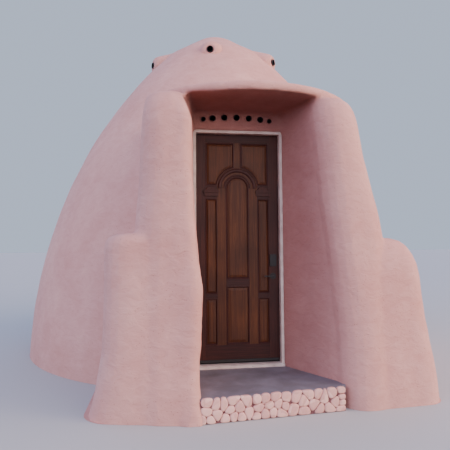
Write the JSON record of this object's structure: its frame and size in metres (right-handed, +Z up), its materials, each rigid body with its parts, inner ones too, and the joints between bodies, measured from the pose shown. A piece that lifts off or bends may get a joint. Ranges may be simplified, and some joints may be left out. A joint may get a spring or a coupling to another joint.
{
  "type": "adobe dome house",
  "caption": "Small round earth-walled dome house with stepped porch piers, a round hood slab and a panelled wooden door that opens inward.",
  "frame": {"origin": "on the dome's axis at ground level, on the underside of the floor slab", "axes": "+Z up along the dome's axis, -Y out of the front door, +X to the right when facing the door from outside"},
  "size_m": [5.57, 6.3841, 4.9306],
  "materials": {
    "pink_plaster": "matte",
    "grey_concrete": "smooth matte",
    "painted_cobbles": "painted",
    "dark_pipe": "matte",
    "white_frame_paint": "satin paint",
    "black_vinyl": "matte",
    "satin_steel": "satin",
    "dark_mahogany": "satin varnish",
    "mahogany_panel": "satin varnish",
    "black_lockset": "matte"
  },
  "bodies": {
    "house": {"floor_slab": "grey_concrete", "porch_slab": "grey_concrete", "porch_step": "painted_cobbles", "front_right_wall": "pink_plaster", "right_front_wall": "pink_plaster", "right_back_wall": "pink_plaster", "back_right_wall": "pink_plaster", "back_left_wall": "pink_plaster", "left_back_wall": "pink_plaster", "left_front_wall": "pink_plaster", "front_left_wall": "pink_plaster", "dome_front": "pink_plaster", "dome_right": "pink_plaster", "dome_back": "pink_plaster", "dome_left": "pink_plaster", "dome_cap": "pink_plaster", "vent_stubs": "pink_plaster", "vent_pipes": "dark_pipe", "left_pier": "pink_plaster", "left_buttress": "pink_plaster", "right_pier": "pink_plaster", "right_buttress": "pink_plaster", "porch_hood": "pink_plaster", "door_head_wall": "pink_plaster", "transom_pipes": "dark_pipe", "hinge_jamb": "white_frame_paint", "lock_jamb": "white_frame_paint", "head_jamb": "white_frame_paint", "door_sill": "white_frame_paint", "sill_strip": "black_vinyl", "frame_hinges": "satin_steel"},
    "door": {"hinge_stile": "dark_mahogany", "lock_stile": "dark_mahogany", "top_rail": "dark_mahogany", "cross_rails": "dark_mahogany", "bottom_rail": "dark_mahogany", "mullions": "dark_mahogany", "door_arch": "dark_mahogany", "upper_panels": "mahogany_panel", "tall_panels": "mahogany_panel", "lower_panels": "mahogany_panel", "door_sweep": "black_vinyl", "door_hinges": "satin_steel", "door_locks": "black_lockset"},
    "lever": {"lever_set": "black_lockset"}
  },
  "joints": [
    {"name": "door_swing", "type": "hinge", "parent": "house", "child": "door", "pos_m": [-0.5325, -2.516, 0.25], "axis": [0, 0, 1], "range_deg": [0, 90]},
    {"name": "lever_turn", "type": "hinge", "parent": "door", "child": "lever", "pos_m": [0.312, -2.524, 1.15], "axis": [0, -1, 0], "range_deg": [0, 45], "stiffness_Nm_per_rad": 0.9, "springref_deg": -17.19}
  ]
}
